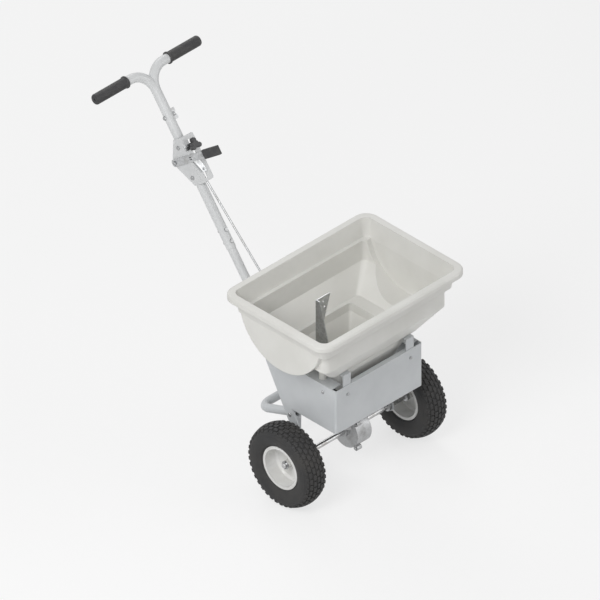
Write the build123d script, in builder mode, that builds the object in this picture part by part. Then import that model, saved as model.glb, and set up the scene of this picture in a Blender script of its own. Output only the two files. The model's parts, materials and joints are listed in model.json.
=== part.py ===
from build123d import *
from math import atan2, cos, degrees, hypot, pi, radians, sin, tan
import os

# A walk-behind broadcast spreader. X runs along the axle, +Y points back to the operator, Z is up.
# Pieces are modelled about the ground point under the axle and moved to the base centre when written.

# Fits
running_gap = 0.05
seat_gap = 0.05
slip_gap = 0.1
side_gap = 0.4
hole_gap = 0.3

# Wheels
tyre_radius = 129.0
tyre_width = 80.0
tread_width = 68.0
tread_drop = 9.0
tyre_wall = 9.0
rim_radius = 62.5
rim_width = 50.0
rim_flange = 5.0
rim_sheet = 3.5
rim_fillet = 6.0
disc_x = 18.0
disc_bite = 1.0
hub_radius = 13.0
hub_length = 40.0
hub_out = 5.0
track = 481.0
hub_bush_wall = 2.0
pin_margin = 8.0

# Axle
axle_radius = 8.0
axle_overhang = 8.0
washer_radius = 13.0
washer_thickness = 2.0
end_pin_radius = 1.6
end_pin_reach = 5.0
drive_pin_radius = 2.5
bush_wall = 3.0
bush_flange = 4.0
bush_flange_thickness = 2.5
collar_radius = 14.0
collar_width = 10.0
hub_collar_share = 0.3

# Hopper
hopper_back = 10.0
hopper_wall = 4.0
rim_length = 580.0
rim_depth = 411.0
rim_corner = 44.0
rim_top = 637.0
lip_height = 17.0
lip_round = 6.0
mouth_length = 540.0
mouth_depth = 374.0
mouth_corner = 28.0
step_z = 575.0
neck_length = 518.0
neck_depth = 352.0
neck_corner = 19.0
crease_z = 513.0
body_length = 486.0
body_depth = 330.0
body_corner = 20.0
shoulder_z = 443.0
shoulder_length = 342.0
shoulder_depth = 240.0
shoulder_corner = 16.0
collar_z = 419.0
sump_length = 260.0
sump_depth = 217.0
sump_corner = 14.0
floor_z = 341.0
floor_length = 198.0
floor_depth = 158.0
floor_corner = 12.0
trough_radius = 161.0
trough_axis_z = 619.0
port_radius = 10.0
port_length = 36.0
port_reach = 38.0
foot_radius = 11.0
foot_x = 148.0
foot_front_y = -50.0
foot_rear_y = 70.0
foot_screw = 28.0

# Baffle that stands in the sump
baffle_sheet = 3.0
baffle_x = -84.0
baffle_y = 40.0
baffle_top = 595.0
baffle_top_width = 56.0
baffle_neck_z = 470.0
baffle_foot_width = 18.0
baffle_wing = 62.0
baffle_wing_top = 12.0
baffle_hole_radius = 4.0
baffle_hole_shift = 9.0
baffle_hole_drop = 14.0
baffle_low_hole_shift = 5.0
baffle_low_hole_drop = 20.0
baffle_tab = 22.0

# Shroud
shroud_half = 172.0
shroud_front = -126.0
shroud_low = 259.0
shroud_top = 405.0
shroud_sheet = 2.5
shroud_bend = 7.0
shroud_rear_low = 72.0
shroud_rear_top = 155.0
side_flange = 40.0
front_flange = 14.0
corner_relief = 4.0
front_bolt_x = 125.0
front_bolt_z = 376.0
side_bolt_y = -74.0
side_bolt_z = 380.0
bracket_width = 30.0
bracket_sheet = 3.0
bracket_reach = 23.0
bracket_low = 360.0

# Frame
rail_thickness = 5.0
rail_width = 34.0
rail_top_y = 140.0
rail_top_z = 382.0
rail_bolt_share = 0.42
tube_radius = 12.7
tube_wall = 2.0
crossbar_y = 202.0
crossbar_z = 182.0
arm_lead = 16.0
tube_bend = 46.0
foot_height = 22.0
foot_sole = 5.0
foot_wall = 3.0
foot_flare = 6.0

# Gearbox and impeller drive
gear_teeth = 24
pinion_teeth = 12
gear_module = 3.0
face_width = 12.0
tooth_share = 0.42
tooth_addendum = 2.2
tooth_dedendum = 3.0
tooth_slope = 20.0
gear_web = 6.0
gear_hub_radius = 15.0
gear_hub_length = 11.0
gear_pin_radius = 2.0
pinion_hub_radius = 12.0
pinion_hub_length = 8.0
root_bite = 0.4
case_wall = 5.0
case_gap = 9.0
case_near = 6.0
case_end_gap = 1.5
case_boss = 9.0
case_boss_radius = 15.0
case_ear = 9.0
ear_radius = 8.0
neck_gap = 3.0
neck_start = 17.0
shaft_radius = 6.0
shaft_top = 392.0
neck_height = 78.0
neck_bush_wall = 4.0
neck_bush_length = 20.0
neck_bush_flange = 4.0
neck_bush_rim = 2.0
floor_bush_wall = 4.0
floor_bush_height = 10.0
floor_bush_flange = 4.0
floor_bush_rim = 2.5
impeller_radius = 115.0
impeller_z = 286.0
impeller_disc = 3.0
impeller_fins = 6
fin_height = 18.0
fin_thickness = 2.5
fin_start = 26.0
impeller_hub_radius = 16.0
impeller_hub_height = 28.0
impeller_hub_drop = 10.0
impeller_pin_radius = 2.0
agitator_z = 362.0
agitator_reach = 42.0
agitator_wire = 2.5
agitator_hub_radius = 10.0
agitator_hub_height = 16.0
agitator_rise = 14.0

# Shut-off gate under the hopper floor
gate_thickness = 2.5
gate_width = 128.0
gate_front = -58.0
gate_rear = 92.0
gate_tab_width = 44.0
gate_tab_margin = 16.0
gate_gap = 0.3
shaft_slot_gap = 1.0
guide_height = 8.0
guide_width = 10.0
guide_lip = 6.0

# Handle, measured up the stem from the rear crossbar, with the front of the stem towards -Y
handle_tilt = 37.3
stem_wall = 1.5
stem_foot = 429.0
stem_overlap = 140.0
stem_corner = 987.0
handle_half = 202.0
handle_bend = 65.0
grip_length = 120.0
grip_wall = 1.9
grip_cap = 4.0
grip_ring = 2.5
grip_ring_width = 5.0
joint_bolt_low = 448.0
joint_bolt_pitch = 36.0
clamp_bolt_z = 842.0

# Control bracket, lever and stop
plate_sheet = 2.5
plate_low = 632.0
plate_high = 776.0
plate_reach = 30.0
plate_rear = 6.0
plate_width = 45.0
plate_corner = 6.0
pivot_z = 712.0
pivot_reach = 39.4
pivot_round = 14.0
plate_slot_x = 5.0
plate_slot_low = 640.0
plate_slot_high = 764.0
plate_slot_radius = 4.0
plate_bolt_low = 656.0
plate_bolt_high = 750.0
lever_thickness = 5.0
lever_width = 22.0
lever_tail = 52.0
lever_tip = 175.0
lever_round = 8.0
lever_rise = 8.0
lever_fall = 15.0
lever_pin_radius = 3.0
lever_slot_slack = 1.4
lever_slot_travel = 8.0
lever_slot_shift = 2.4
lever_pin_end = 1.5
rivet_inset = 7.0
lever_grip_length = 72.0
lever_grip_wall = 3.0
slider_gap = 2.6
slider_sheet = 3.0
slider_low = 660.0
slider_bolt_z = 668.0
slider_high = 722.0
slider_half = 7.0
rod_radius = 3.0
rod_slope = 44.0
rod_clearance = 5.8
rod_per_radian = 79.0
rod_pin_rise = 23.0
rod_pin_tail = 12.0
rod_top_bend = 6.0
rod_low_bend = 12.0
rod_end = 4.0
stop_z = 735.0
stop_height = 16.0
stop_sheet = 4.0
stop_stand_off = 0.6
stop_right = 7.0
stop_overhang = 2.0
stud_radius = 3.0
stud_washer_radius = 7.0
stud_washer = 2.5
stud_bite = 6.0
knob_lobes = 3
knob_lobe_reach = 12.5
knob_lobe_radius = 7.5
knob_core_radius = 11.0
knob_thickness = 13.0
knob_neck_radius = 8.0
knob_stand_off = 6.5
knob_round = 2.0

# Fasteners
bolt_radius = 3.0
bolt_head_radius = 6.5
bolt_head_height = 4.0
small_bolt_radius = 2.5
small_head_radius = 5.0
small_head_height = 3.0
wing_boss = 8.0
wing_span = 34.0
wing_height = 13.0
wing_thickness = 2.5

# Places worked out from the sizes above
axle_z = tyre_radius
wheel_x = track / 2
hub_in = hub_length - hub_out
axle_right_end = wheel_x + hub_out + washer_thickness + axle_overhang
axle_left_end = wheel_x + hub_in + washer_thickness + axle_overhang
rail_x = shroud_half - shroud_sheet - rail_thickness
bush_face = rail_x + rail_thickness + bush_flange_thickness
hub_collar_width = hub_collar_share * (wheel_x - hub_in - bush_face)
arm_x = rail_x - tube_radius
stem_radius = tube_radius + slip_gap + stem_wall
grip_radius = stem_radius + seat_gap + grip_wall
handle_lean = radians(handle_tilt)
handle_frame = Location((0, crossbar_y, crossbar_z), (-handle_tilt, 0, 0))
grip_y = crossbar_y + stem_corner * sin(handle_lean)
back_reach = grip_y + grip_radius + grip_ring
front_reach = rim_depth / 2 - hopper_back
base_centre = Location((0, (front_reach - back_reach) / 2, 0))
inner_floor_z = floor_z + hopper_wall
baffle_screw_x = baffle_x + baffle_foot_width / 2
baffle_screw_y = baffle_y - baffle_tab / 2
bush_radius = axle_radius + running_gap + bush_wall
hub_bush_radius = axle_radius + running_gap + hub_bush_wall
floor_bush_radius = shaft_radius + running_gap + floor_bush_wall
neck_bush_radius = shaft_radius + running_gap + neck_bush_wall
rail_rise = rail_top_z - axle_z
rail_bolt_y = rail_top_y * rail_bolt_share
rail_bolt_z = axle_z + rail_rise * rail_bolt_share
arm_slope = atan2(rail_bolt_z - crossbar_z, crossbar_y - rail_bolt_y)
gear_pitch = gear_teeth * gear_module / 2
pinion_pitch = pinion_teeth * gear_module / 2
cone_distance = hypot(gear_pitch, pinion_pitch)
inner_share = 1 - face_width / cone_distance
gear_back = pinion_pitch + tooth_dedendum * gear_pitch / cone_distance + gear_web
gear_end = gear_back + gear_hub_length
gear_pin_x = gear_back + gear_hub_length / 2
pinion_end = gear_pitch + tooth_dedendum * pinion_pitch / cone_distance + gear_web + pinion_hub_length
drive_pin_x = wheel_x - hub_in + pin_margin
end_pin_step = washer_thickness + 2 * side_gap + end_pin_radius
end_pin_spots = (-(wheel_x + hub_out + end_pin_step), wheel_x + hub_in + end_pin_step)
rod_fall = radians(rod_slope)
open_travel = rod_per_radian * cos(rod_fall) * radians(lever_rise)
close_travel = rod_per_radian * cos(rod_fall) * radians(lever_fall)
gate_top = floor_z - gate_gap
plate_x = -(stem_radius + seat_gap + plate_sheet)
plate_front = plate_reach + plate_sheet
lever_inner_x = plate_x - side_gap
lever_outer_x = lever_inner_x - lever_thickness
slider_back = plate_front + slider_gap
slider_front = slider_back + slider_sheet
slider_mid = (slider_back + slider_front) / 2
stop_back = plate_front + stop_stand_off
stop_mid_z = stop_z + stop_height / 2
knob_back = stop_back + stop_sheet + side_gap
joint_bolt_spots = (joint_bolt_low, joint_bolt_low + joint_bolt_pitch)
plate_bolt_spots = (plate_bolt_low, plate_bolt_high)
from_end = (Align.CENTER, Align.CENTER, Align.MIN)
os.makedirs("parts", exist_ok=True)


def write(builder, node, place=Location()):
    piece = builder.part.moved(base_centre * place)
    piece.label = node
    export_step(piece, f"parts/{node}.step")


def bolt(shank_length, radius=bolt_radius, head_radius=bolt_head_radius, head_height=bolt_head_height,
         nut=False):
    # Head under the origin, shank up +Z, and a nut that ends where the shank ends.
    with BuildPart() as made:
        with BuildSketch():
            RegularPolygon(head_radius, 6)
        extrude(amount=-head_height)
        chamfer(made.faces().sort_by(Axis.Z)[0].edges(), head_height / 6)
        with BuildSketch():
            Circle(radius)
        extrude(amount=shank_length)
        if nut:
            with BuildSketch(Plane.XY.offset(shank_length)):
                RegularPolygon(head_radius, 6)
            extrude(amount=-head_height)
    return made.part


def small_bolt(shank_length, nut=False):
    return bolt(shank_length, small_bolt_radius, small_head_radius, small_head_height, nut)


def tube(outer, inner, length):
    with BuildPart() as made:
        with BuildSketch():
            Circle(outer)
            Circle(inner, mode=Mode.SUBTRACT)
        extrude(amount=length)
    return made.part


def along(point, direction):
    # A place whose Z looks along a direction.
    return Plane(origin=point, z_dir=direction).location


def on_handle(x, y, z):
    return (handle_frame * Location((x, y, z))).position


# Hopper: lip, tapered neck, body, funnel, end troughs and sump, hollowed by the same forms set in by the wall.
with BuildPart() as hopper:
    for inset, mode in ((0, Mode.ADD), (hopper_wall, Mode.SUBTRACT)):
        frustums = (
            ((step_z + inset, neck_length, neck_depth, neck_corner),
             (rim_top, mouth_length, mouth_depth, mouth_corner)),
            ((crease_z, body_length, body_depth, body_corner),
             (step_z + inset, body_length, body_depth, body_corner)),
            ((shoulder_z + inset, shoulder_length, shoulder_depth, shoulder_corner),
             (crease_z, body_length, body_depth, body_corner)),
            ((collar_z, sump_length, sump_depth, sump_corner),
             (shoulder_z + inset, sump_length, sump_depth, sump_corner)),
            ((floor_z + inset, floor_length, floor_depth, floor_corner),
             (collar_z, sump_length, sump_depth, sump_corner)),
        )
        if mode == Mode.ADD:
            with BuildSketch(Plane.XY.offset(rim_top - lip_height)):
                with Locations((0, hopper_back)):
                    RectangleRounded(rim_length, rim_depth, rim_corner)
            extrude(amount=lip_height)
            top_edges = hopper.faces().sort_by(Axis.Z)[-1].edges()
            fillet(top_edges, lip_round)
        for sections in frustums:
            for height, length, depth, corner in sections:
                with BuildSketch(Plane.XY.offset(height)):
                    with Locations((0, hopper_back)):
                        RectangleRounded(length - 2 * inset, depth - 2 * inset, corner - inset)
            loft(mode=mode)
        with BuildSketch(Plane.YZ):
            with Locations((hopper_back, trough_axis_z)):
                Circle(trough_radius - inset)
            with Locations((hopper_back, step_z + 2 * hopper_wall)):
                Rectangle(neck_depth, neck_depth, align=(Align.CENTER, Align.MAX), mode=Mode.INTERSECT)
        extrude(amount=neck_length / 2 - inset, both=True, mode=mode)
    with BuildSketch(Plane.XY.offset(rim_top - lip_height)):
        with Locations((0, hopper_back)):
            RectangleRounded(rim_length - 2 * hopper_wall, rim_depth - 2 * hopper_wall, rim_corner - hopper_wall)
            RectangleRounded(mouth_length, mouth_depth, mouth_corner, mode=Mode.SUBTRACT)
    extrude(amount=lip_height - 2 * hopper_wall, mode=Mode.SUBTRACT)
    foot_spots = [(x, y) for x in (-foot_x, foot_x) for y in (foot_front_y, foot_rear_y)]
    with BuildSketch(Plane.XY.offset(shroud_top)):
        with Locations(*foot_spots):
            Circle(foot_radius)
    extrude(amount=shoulder_z + hopper_wall / 2 - shroud_top)
    with Locations(*[(x, y, shroud_top) for x, y in foot_spots]):
        Cylinder(bolt_radius + hole_gap, shoulder_z - shroud_top - hopper_wall, align=from_end,
                 mode=Mode.SUBTRACT)
    with Locations((0, 0, floor_z)):
        Cylinder(floor_bush_radius + seat_gap, 3 * hopper_wall, mode=Mode.SUBTRACT)
    with BuildSketch(Plane.XY.offset(floor_z)):
        with Locations((-port_reach, 0), (port_reach, 0)):
            SlotOverall(port_length, 2 * port_radius)
        with Locations((baffle_screw_x, baffle_screw_y)):
            Circle(small_bolt_radius + hole_gap)
    extrude(amount=hopper_wall, mode=Mode.SUBTRACT)
write(hopper, "hopper")

# Upright baffle: a back plate and a wing folded along one upright edge, on a tab screwed to the floor.
with BuildPart() as hopper_baffle:
    with BuildSketch(Plane.XZ.offset(-baffle_y)):
        with BuildLine():
            Polyline(
                (baffle_x, inner_floor_z), (baffle_x + baffle_foot_width, inner_floor_z),
                (baffle_x + baffle_foot_width, baffle_neck_z), (baffle_x + baffle_top_width, baffle_top),
                (baffle_x, baffle_top), close=True)
        make_face()
    extrude(amount=-baffle_sheet)
    with BuildSketch(Plane.YZ.offset(baffle_x)):
        with BuildLine():
            Polyline(
                (baffle_y, inner_floor_z), (baffle_y - baffle_wing / 2, inner_floor_z),
                (baffle_y - baffle_wing, baffle_neck_z - baffle_top_width),
                (baffle_y - baffle_wing_top, baffle_top), (baffle_y, baffle_top), close=True)
        make_face()
    extrude(amount=baffle_sheet)
    with BuildSketch(Plane.XY.offset(inner_floor_z)):
        with Locations((baffle_x, baffle_y)):
            Rectangle(baffle_foot_width, baffle_tab, align=(Align.MIN, Align.MAX))
    extrude(amount=baffle_sheet)
    with Locations((baffle_screw_x, baffle_screw_y, inner_floor_z)):
        Cylinder(small_bolt_radius + hole_gap, 4 * baffle_sheet, mode=Mode.SUBTRACT)
    hole_x = baffle_x + baffle_top_width / 2
    hole_z = baffle_top - 4 * baffle_hole_radius
    with Locations(*[Location((hole_x + dx, baffle_y, hole_z + dz), (90, 0, 0))
                     for dx, dz in ((0, 0), (-baffle_hole_shift, -baffle_hole_drop),
                                    (baffle_low_hole_shift, -baffle_low_hole_drop))]):
        Cylinder(baffle_hole_radius, 4 * baffle_sheet, mode=Mode.SUBTRACT)
write(hopper_baffle, "hopper_baffle")

# Shroud: one folded sheet round the front and sides, cut back along the rails, flanged under the hopper.
wall_length = shroud_rear_top - shroud_front + 2 * shroud_bend
flange_front = shroud_front + front_flange + corner_relief
front_bolt_spots = (-front_bolt_x, front_bolt_x)
with BuildPart() as shroud:
    with BuildSketch(Plane.XY.offset(shroud_low)):
        with Locations((0, shroud_front)):
            RectangleRounded(2 * shroud_half, wall_length, shroud_bend, align=(Align.CENTER, Align.MIN))
        with Locations((0, shroud_front + shroud_sheet)):
            RectangleRounded(2 * (shroud_half - shroud_sheet), wall_length, shroud_bend - shroud_sheet,
                             align=(Align.CENTER, Align.MIN), mode=Mode.SUBTRACT)
    extrude(amount=shroud_top - shroud_low)
    with BuildSketch(Plane.YZ):
        with BuildLine():
            Polyline(
                (shroud_rear_low, shroud_low), (shroud_rear_top, shroud_top),
                (shroud_front + 2 * wall_length, shroud_top), (shroud_front + 2 * wall_length, shroud_low),
                close=True)
        make_face()
    extrude(amount=2 * shroud_half, both=True, mode=Mode.SUBTRACT)
    with BuildSketch(Plane.XY.offset(shroud_top - shroud_sheet)):
        with Locations((0, shroud_front + shroud_sheet / 2)):
            Rectangle(2 * (shroud_half - side_flange), front_flange, align=(Align.CENTER, Align.MIN))
        with Locations(*[(side * (shroud_half - side_flange / 2), flange_front) for side in (-1, 1)]):
            Rectangle(side_flange - shroud_sheet, shroud_rear_top - 2 * shroud_bend - flange_front,
                      align=(Align.CENTER, Align.MIN))
    extrude(amount=shroud_sheet)
    with Locations(*[(x, shroud_front + shroud_sheet, shroud_top) for x in front_bolt_spots]):
        Box(bracket_width + 2 * side_gap, bracket_sheet + side_gap, 4 * shroud_sheet,
            align=(Align.CENTER, Align.MIN, Align.CENTER), mode=Mode.SUBTRACT)
    with Locations(*[(x, y, shroud_top) for x, y in foot_spots]):
        Cylinder(bolt_radius + hole_gap, 4 * shroud_sheet, mode=Mode.SUBTRACT)
    with Locations(*[along((x, shroud_front, front_bolt_z), (0, 1, 0)) for x in front_bolt_spots]):
        Cylinder(small_bolt_radius + hole_gap, 4 * shroud_sheet, mode=Mode.SUBTRACT)
    with Locations(*[along((x, side_bolt_y, side_bolt_z), (1, 0, 0)) for x in (-shroud_half, shroud_half)]):
        Cylinder(small_bolt_radius + hole_gap, 4 * shroud_sheet, mode=Mode.SUBTRACT)
write(shroud, "shroud")

# Straps from the front panel up to the underside of the hopper's shoulder.
strap_front = shroud_front + shroud_sheet
strap_back = strap_front + bracket_sheet
with BuildPart() as front_brackets:
    for x in front_bolt_spots:
        with BuildSketch(Plane.YZ.offset(x)):
            with BuildLine():
                Polyline(
                    (strap_front, bracket_low), (strap_back, bracket_low),
                    (strap_back, shoulder_z - bracket_sheet),
                    (strap_front + bracket_reach, shoulder_z - bracket_sheet),
                    (strap_front + bracket_reach, shoulder_z), (strap_front, shoulder_z), close=True)
            make_face()
        extrude(amount=bracket_width / 2, both=True)
    with Locations(*[along((x, strap_front, front_bolt_z), (0, 1, 0)) for x in front_bolt_spots]):
        Cylinder(small_bolt_radius + hole_gap, 4 * bracket_sheet, mode=Mode.SUBTRACT)
write(front_brackets, "front_brackets")

with BuildPart() as hopper_screws:
    with Locations(*[(x, y, shroud_top - shroud_sheet) for x, y in foot_spots]):
        add(bolt(foot_screw))
    with Locations(along((baffle_screw_x, baffle_screw_y, inner_floor_z + baffle_sheet), (0, 0, -1))):
        add(small_bolt(baffle_sheet + hopper_wall))
write(hopper_screws, "hopper_screws")

with BuildPart() as shroud_bolts:
    with Locations(*[along((x, shroud_front, front_bolt_z), (0, 1, 0)) for x in front_bolt_spots]):
        add(small_bolt(shroud_sheet + bracket_sheet + small_head_height, nut=True))
    with Locations(*[along((side * shroud_half, side_bolt_y, side_bolt_z), (-side, 0, 0)) for side in (-1, 1)]):
        add(small_bolt(shroud_sheet + small_head_height, nut=True))
write(shroud_bolts, "shroud_bolts")

# Side rails: flat straps from the axle up inside the shroud's side panels.
with BuildPart() as side_rail:
    with BuildSketch(Plane.YZ):
        with Locations((rail_top_y / 2, axle_z + rail_rise / 2)):
            SlotCenterToCenter(hypot(rail_top_y, rail_rise), rail_width,
                               rotation=degrees(atan2(rail_rise, rail_top_y)))
        with Locations((0, axle_z)):
            Circle(bush_radius + seat_gap, mode=Mode.SUBTRACT)
        with Locations((rail_bolt_y, rail_bolt_z)):
            Circle(bolt_radius + hole_gap, mode=Mode.SUBTRACT)
    extrude(amount=rail_thickness)
write(side_rail, "side_rail_left", Location((rail_x, 0, 0)))
write(side_rail, "side_rail_right", Location((-rail_x - rail_thickness, 0, 0)))

with BuildPart() as axle_bush:
    add(tube(bush_radius, axle_radius + running_gap, rail_thickness))
    with Locations((0, 0, rail_thickness)):
        add(tube(bush_radius + bush_flange, axle_radius + running_gap, bush_flange_thickness))
write(axle_bush, "axle_bush_left", along((rail_x, 0, axle_z), (1, 0, 0)))
write(axle_bush, "axle_bush_right", along((-rail_x, 0, axle_z), (-1, 0, 0)))

# Rear frame: a bent tube whose arms bolt to the rails and whose crossbar carries the handle and the stand.
arm_front_y = rail_bolt_y - arm_lead * cos(arm_slope)
arm_front_z = rail_bolt_z + arm_lead * sin(arm_slope)
with BuildPart() as rear_frame_tube:
    with BuildLine() as frame_path:
        FilletPolyline(
            (-arm_x, arm_front_y, arm_front_z), (-arm_x, crossbar_y, crossbar_z),
            (arm_x, crossbar_y, crossbar_z), (arm_x, arm_front_y, arm_front_z), radius=tube_bend)
    with BuildSketch(Plane(origin=frame_path.line @ 0, z_dir=frame_path.line % 0)):
        Circle(tube_radius)
        Circle(tube_radius - tube_wall, mode=Mode.SUBTRACT)
    sweep()
    with Locations(*[along((x, rail_bolt_y, rail_bolt_z), (1, 0, 0)) for x in (-arm_x, arm_x)]):
        Cylinder(bolt_radius + hole_gap, 3 * tube_radius, mode=Mode.SUBTRACT)
write(rear_frame_tube, "rear_frame_tube")

with BuildPart() as rail_bolts:
    with Locations(*[along((side * (rail_x + rail_thickness), rail_bolt_y, rail_bolt_z), (-side, 0, 0))
                     for side in (-1, 1)]):
        add(bolt(rail_thickness + 2 * tube_radius + bolt_head_height, nut=True))
write(rail_bolts, "rail_bolts")

with BuildPart() as stand_leg:
    with BuildSketch(Plane.XY.offset(foot_sole)):
        with Locations((0, crossbar_y)):
            Circle(tube_radius)
            Circle(tube_radius - tube_wall, mode=Mode.SUBTRACT)
    extrude(amount=crossbar_z - tube_radius / 2 - foot_sole)
    with Locations(along((0, crossbar_y, crossbar_z), (1, 0, 0))):
        Cylinder(tube_radius + seat_gap, 4 * tube_radius, mode=Mode.SUBTRACT)
write(stand_leg, "stand_leg")

with BuildPart() as stand_foot:
    with Locations((0, crossbar_y, 0)):
        Cone(tube_radius + foot_wall + foot_flare, tube_radius + foot_wall, foot_height, align=from_end)
    with Locations((0, crossbar_y, foot_sole)):
        Cylinder(tube_radius + seat_gap, foot_height, align=from_end, mode=Mode.SUBTRACT)
write(stand_foot, "stand_foot")

# Wheels: a hollow tyre on a rim with a deep disc, drawn as half sections about the axle and set the same way.
bead_x = rim_width / 2
bead_top = rim_radius + rim_flange
sidewall_radius = (bead_top + tyre_radius - tread_drop) / 2
right_wheel = Location((-wheel_x, 0, axle_z))
left_wheel = Location((wheel_x, 0, axle_z))
with BuildPart() as tyre:
    with BuildSketch():
        for inset, mode in ((0, Mode.ADD), (tyre_wall, Mode.SUBTRACT)):
            shoulder = (tread_width / 2 - inset, tyre_radius - tread_drop - inset)
            with BuildLine():
                Polyline((0, rim_radius), (bead_x - inset, rim_radius), (bead_x - inset, bead_top))
                ThreePointArc((bead_x - inset, bead_top), (tyre_width / 2 - inset, sidewall_radius), shoulder)
                TangentArc((0, tyre_radius - inset), shoulder, tangent=(1, 0))
                mirror(about=Plane.YZ)
            make_face(mode=mode)
    revolve(axis=Axis.X)
write(tyre, "tyre_right", right_wheel)
write(tyre, "tyre_left", left_wheel)


def rim(bore):
    barrel_top = rim_radius - seat_gap
    barrel_low = barrel_top - rim_sheet
    flange_x = bead_x + seat_gap
    with BuildPart() as made:
        with BuildSketch():
            with Locations((0, barrel_top)):
                Rectangle(2 * (flange_x + rim_sheet), rim_sheet, align=(Align.CENTER, Align.MAX))
            with Locations((flange_x + rim_sheet / 2, barrel_top), (-flange_x - rim_sheet / 2, barrel_top)):
                Rectangle(rim_sheet, rim_flange, align=(Align.CENTER, Align.MIN))
            with Locations((-hub_out, bore)):
                Rectangle(hub_length, hub_radius - bore, align=(Align.MIN, Align.MIN))
            with BuildLine():
                Polyline(
                    (disc_x, hub_radius - disc_bite), (disc_x, barrel_low - rim_fillet),
                    (disc_x - rim_fillet, barrel_low), (disc_x - rim_fillet, barrel_top - disc_bite),
                    (disc_x + rim_sheet, barrel_top - disc_bite),
                    (disc_x + rim_sheet, hub_radius - disc_bite), close=True)
            make_face()
        revolve(axis=Axis.X)
    return made.part


with BuildPart() as rim_right:
    add(rim(axle_radius + seat_gap))
    with Locations((hub_in - pin_margin, 0, 0)):
        Cylinder(drive_pin_radius + seat_gap, 3 * hub_radius, mode=Mode.SUBTRACT)
write(rim_right, "rim_right", right_wheel)

with BuildPart() as rim_left:
    add(rim(hub_bush_radius + seat_gap))
write(rim_left, "rim_left", left_wheel)

with BuildPart() as hub_bush:
    add(tube(hub_bush_radius, axle_radius + running_gap, hub_length))
write(hub_bush, "hub_bush", along((wheel_x - hub_out, 0, axle_z), (1, 0, 0)))

# Axle with cross holes for its pins, the collars that keep it centred, and the end washers.
with BuildPart() as axle:
    with Locations(along((-axle_right_end, 0, axle_z), (1, 0, 0))):
        Cylinder(axle_radius, axle_right_end + axle_left_end, align=from_end)
    chamfer(axle.edges().filter_by(GeomType.CIRCLE), axle_radius / 8)
    for x, radius in ((-drive_pin_x, drive_pin_radius), (gear_pin_x, gear_pin_radius),
                      *[(x, end_pin_radius) for x in end_pin_spots]):
        with Locations((x, 0, axle_z)):
            Cylinder(radius + seat_gap, 3 * axle_radius, mode=Mode.SUBTRACT)
write(axle, "axle")

with BuildPart() as drive_pin:
    with Locations((-drive_pin_x, 0, axle_z)):
        Cylinder(drive_pin_radius, 2 * hub_radius + drive_pin_radius)
write(drive_pin, "drive_pin")

with BuildPart() as axle_end_pins:
    with Locations(*[(x, 0, axle_z) for x in end_pin_spots]):
        Cylinder(end_pin_radius, 2 * (axle_radius + end_pin_reach))
write(axle_end_pins, "axle_end_pins")

with BuildPart() as axle_collars:
    for left_x, right_x, width in ((rail_x, rail_x, collar_width),
                                   (wheel_x - hub_out, wheel_x - hub_in, hub_collar_width)):
        with Locations(along((left_x - side_gap, 0, axle_z), (-1, 0, 0)),
                       along((side_gap - right_x, 0, axle_z), (1, 0, 0))):
            add(tube(collar_radius, axle_radius + seat_gap, width))
write(axle_collars, "axle_collars")

with BuildPart() as axle_washers:
    with Locations(along((-(wheel_x + hub_out + side_gap), 0, axle_z), (-1, 0, 0)),
                   along((wheel_x + hub_in + side_gap, 0, axle_z), (1, 0, 0))):
        add(tube(washer_radius, axle_radius + seat_gap, washer_thickness))
write(axle_washers, "axle_washers")


def bevel(teeth, pitch, apex_height, bore, hub, hub_end, phase):
    # A straight bevel wheel about Z with its cone apex at the origin.
    crest = Vector(pitch, 0, apex_height)
    outward = Vector(apex_height, 0, -pitch).normalized()
    root = crest - outward * tooth_dedendum
    flank = tan(radians(tooth_slope))
    half_width = tooth_share * pi * gear_module / 2
    low = tooth_dedendum + root_bite
    wide = half_width + low * flank
    narrow = half_width - tooth_addendum * flank
    with BuildPart() as tooth:
        for share in (1, inner_share):
            with BuildSketch(Plane(origin=crest * share, x_dir=(0, 1, 0), z_dir=crest.normalized())):
                with BuildLine():
                    Polyline(
                        (-wide * share, low * share), (wide * share, low * share),
                        (narrow * share, -tooth_addendum * share),
                        (-narrow * share, -tooth_addendum * share), close=True)
                make_face()
        loft()
    with BuildPart() as made:
        with BuildSketch(Plane.XZ):
            with BuildLine():
                Polyline(
                    (bore, root.Z * inner_share), (root.X * inner_share, root.Z * inner_share),
                    (root.X, root.Z), (root.X, root.Z + gear_web), (hub, root.Z + gear_web),
                    (hub, hub_end), (bore, hub_end), close=True)
            make_face()
        revolve(axis=Axis.Z)
        with PolarLocations(0, teeth, start_angle=phase):
            add(tooth.part)
    return made.part


# Bevel drive in the gearbox: a gear tooth gap faces up and a pinion tooth faces the gear.
with BuildPart() as bevel_gear:
    add(bevel(gear_teeth, gear_pitch, pinion_pitch, axle_radius + seat_gap, gear_hub_radius, gear_end,
              180 / gear_teeth))
    with Locations(Location((0, 0, gear_pin_x), (0, 90, 0))):
        Cylinder(gear_pin_radius + seat_gap, 3 * gear_hub_radius, mode=Mode.SUBTRACT)
write(bevel_gear, "bevel_gear", Location((0, 0, axle_z), (0, 90, 0)))

with BuildPart() as gear_pin:
    with Locations((gear_pin_x, 0, axle_z)):
        Cylinder(gear_pin_radius, 2 * gear_hub_radius)
write(gear_pin, "gear_pin")

with BuildPart() as bevel_pinion:
    add(bevel(pinion_teeth, pinion_pitch, gear_pitch, shaft_radius + seat_gap, pinion_hub_radius, pinion_end, 0))
write(bevel_pinion, "bevel_pinion", Location((0, 0, axle_z)))

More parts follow.
